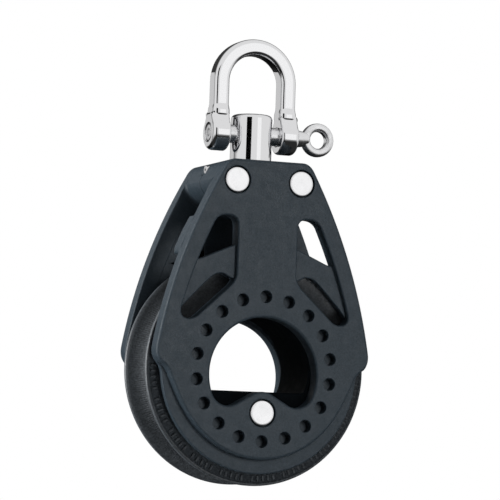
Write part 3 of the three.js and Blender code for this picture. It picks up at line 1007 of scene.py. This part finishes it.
RING_R, RING_HOLE_R, RING_HALF_WIDTH = (PIN_HIGH.z - PIN_LOW.z) / 2, 2.8, 1.8
RING_SQUARENESS = 0.7


def ring_section():
    """The pin's ring cut across: an oval with flattened sides."""
    middle, reach = (RING_R + RING_HOLE_R) / 2, (RING_R - RING_HOLE_R) / 2
    oval = []
    for i in range(28):
        angle = 2 * math.pi * i / 28
        c, s = math.cos(angle), math.sin(angle)
        out = reach * math.copysign(abs(c) ** RING_SQUARENESS, c)
        oval.append((middle + out, RING_HALF_WIDTH * math.copysign(abs(s) ** RING_SQUARENESS, s)))
    return oval


def pin_shell():
    """The pin, with a centre mark in its plain end and the ring that turns it on the other."""
    left, ring_x = PIN_LOW.x, PIN_HIGH.x - RING_R
    rows = [(0, left + 0.25), (1.1, left + 0.25), (1.4, left), (PIN_R - 0.4, left)]
    rows += [(PIN_R, left + 0.4), (PIN_R, EAR_OUTER_X + 0.2), (PIN_R - 0.2, EAR_OUTER_X + 1.2)]
    rows += [(2.4, ring_x - 4.2), (2.2, ring_x - 3.6), (0, ring_x - 3.4)]
    shell = Shell().add(*lathe(rows, 64, "X", (0, 0, PIN_Z)))
    return shell.add(*lathe(ring_section(), 80, "Y", (ring_x, 0, PIN_Z), closed=True))


shell = pin_shell()
piece = make_object("shackle_pin_body", shell.verts, shell.faces, satin_steel, sharp_angle=50)
place(piece, "shackle_pin", "shackle_pin")


# ---- Floor, room and camera ----

WHITE = (1, 1, 1, 1)
FLOOR_Z = cad_low.z - 0.35
ROOM_STRENGTH = 0.8


def direction(azimuth, elevation):
    """The way from the object to a camera, lamp or card, from degrees; azimuth 0 is the front."""
    a, e = math.radians(azimuth), math.radians(elevation)
    return Vector((math.sin(a) * math.cos(e), -math.cos(a) * math.cos(e), math.sin(e)))


def plane(name, centre, normal, width, height, material):
    """A flat rectangle of the stage, in metres."""
    mesh = bpy.data.meshes.new(name)
    turn = Vector(normal).to_track_quat("Z", "Y").to_matrix()
    x, y = width / 2, height / 2
    corners = [(-x, -y, 0), (x, -y, 0), (x, y, 0), (-x, y, 0)]
    points = [Vector(centre) + turn @ Vector(corner) for corner in corners]
    mesh.from_pydata(points, [], [(0, 1, 2, 3)])
    mesh.materials.append(material)
    obj = bpy.data.objects.new(name, mesh)
    bpy.context.scene.collection.objects.link(obj)
    return obj


floor_material, _, _ = new_material("floor_white", (0.93, 0.93, 0.93), 0.9)
plane("floor", (0, 0, FLOOR_Z), (0, 0, 1), 12, 12, floor_material).visible_glossy = False


def fade(tree, value, start, end, low, high):
    """Goes smoothly from low to high as the value goes from start to end."""
    node = tree.nodes.new("ShaderNodeMapRange")
    node.interpolation_type = "SMOOTHSTEP"
    node.inputs["From Min"].default_value = start
    node.inputs["From Max"].default_value = end
    node.inputs["To Min"].default_value = low
    node.inputs["To Max"].default_value = high
    tree.links.new(value, node.inputs["Value"])
    return node.outputs["Result"]


def product(tree, first, second):
    node = tree.nodes.new("ShaderNodeMath")
    node.operation = "MULTIPLY"
    tree.links.new(first, node.inputs[0])
    tree.links.new(second, node.inputs[1])
    return node.outputs["Value"]


def studio_world():
    """White to the camera; to the object, a bright room that is dark behind it and below it."""
    world = bpy.data.worlds.new("studio")
    bpy.context.scene.world = world
    world.use_nodes = True
    tree = world.node_tree
    coordinates = tree.nodes.new("ShaderNodeTexCoord")
    axes = tree.nodes.new("ShaderNodeSeparateXYZ")
    tree.links.new(coordinates.outputs["Generated"], axes.inputs["Vector"])
    above = fade(tree, axes.outputs["Z"], -0.45, -0.08, 0.03 * ROOM_STRENGTH, ROOM_STRENGTH)
    ahead = fade(tree, axes.outputs["Y"], 0.1, 0.75, 1, 0.05)
    lit = tree.nodes["Background"]
    lit.inputs["Color"].default_value = WHITE
    tree.links.new(product(tree, above, ahead), lit.inputs["Strength"])
    seen = tree.nodes.new("ShaderNodeBackground")
    seen.inputs["Color"].default_value = WHITE
    path = tree.nodes.new("ShaderNodeLightPath")
    mix = tree.nodes.new("ShaderNodeMixShader")
    tree.links.new(path.outputs["Is Camera Ray"], mix.inputs["Fac"])
    tree.links.new(lit.outputs["Background"], mix.inputs[1])
    tree.links.new(seen.outputs["Background"], mix.inputs[2])
    tree.links.new(mix.outputs["Shader"], tree.nodes["World Output"].inputs["Surface"])


studio_world()

AZIMUTH, ELEVATION, ROLL = -21.5, -4.2, 1.9
DISTANCE = 0.9
TARGET = Vector((0.0009, 0, SHEAVE_CENTRE_Z + 0.0393))

camera = bpy.data.objects.new("camera", bpy.data.cameras.new("camera"))
bpy.context.scene.collection.objects.link(camera)
camera.data.sensor_width = 36
camera.data.lens = 198
camera.data.clip_start = 0.05
to_camera = direction(AZIMUTH, ELEVATION)
camera.location = TARGET + to_camera * DISTANCE
turn = (-to_camera).to_track_quat("-Z", "Y").to_matrix()
camera.rotation_euler = (turn @ Matrix.Rotation(math.radians(ROLL), 3, "Z")).to_euler()
bpy.context.scene.camera = camera


# ---- Lamps and cards ----

def area_light(name, azimuth, elevation, distance, size, watts):
    light = bpy.data.lights.new(name, "AREA")
    light.shape = "RECTANGLE"
    light.size, light.size_y = size
    light.energy = watts
    obj = bpy.data.objects.new(name, light)
    way = direction(azimuth, elevation)
    obj.location = TARGET + way * distance
    obj.rotation_euler = (-way).to_track_quat("-Z", "Y").to_euler()
    bpy.context.scene.collection.objects.link(obj)
    return obj


def lit_only(light, materials):
    """Keeps a strong lamp off the polished metal, which would show it as a burnt-out patch."""
    group = bpy.data.collections.new(light.name + "_receivers")
    for obj in bpy.context.scene.objects:
        if obj.type == "MESH" and obj.active_material in materials:
            group.objects.link(obj)
    light.light_linking.receiver_collection = group


CHEEKS_AND_FLOOR = [cheek_nylon, floor_material]
PLASTICS_AND_FLOOR = [cheek_nylon, sheave_nylon, ball_acetal, floor_material]

lit_only(area_light("front", 8, 9, 1.4, (0.35, 0.4), 13), CHEEKS_AND_FLOOR)
lit_only(area_light("left_strip", -100, 12, 1.1, (0.3, 1.0), 30), CHEEKS_AND_FLOOR)
lit_only(area_light("overhead", -70, 72, 1.2, (0.7, 0.7), 1.5), PLASTICS_AND_FLOOR)
lit_only(area_light("groove", -116, 2, 1.1, (0.3, 0.3), 50), [sheave_nylon])
lit_only(area_light("flange", 14, -30, 0.7, (0.2, 0.2), 2.8), [sheave_nylon])


def glow(name, strength):
    """A card's own even light."""
    material, _, shader = new_material(name, (0, 0, 0), 1.0, specular=0.0)
    shader.inputs["Emission Color"].default_value = WHITE
    shader.inputs["Emission Strength"].default_value = strength
    return material


def card(name, centre, azimuth, elevation, distance, width, height, material):
    """A studio card that only reflections see, for the light and dark bands on polished metal."""
    way = direction(azimuth, elevation)
    piece = plane(name, centre + way * distance, -way, width, height, material)
    piece.visible_camera = False
    piece.visible_diffuse = False
    piece.visible_shadow = False
    return piece


def shade(name, azimuth):
    """A black flag that shades the plastics and stays out of the metal's reflections."""
    piece = card(name, TARGET, azimuth, 0, 0.8, 0.9, 1.4, black)
    piece.visible_diffuse = True
    piece.visible_shadow = True
    piece.visible_glossy = False


SHACKLE = Vector((-0.012, 0, PIN_Z * MM + SHEAVE_CENTRE_Z + 0.006))
black, _, _ = new_material("flag_black", (0.004, 0.004, 0.004), 1.0, specular=0.0)
card("flag_camera", TARGET, -34, 0, 1.6, 0.8, 1.6, black)
shade("flag_left", -58)
shade("flag_right", 64)
card("card_front", TARGET, 24, 4, 1.5, 0.6, 0.9, glow("glow_front", 1.0))
card("card_shackle", SHACKLE, -157, 4, 0.2, 0.2, 0.1, glow("glow_shackle", 0.62))

bpy.context.scene.view_settings.view_transform = "Standard"
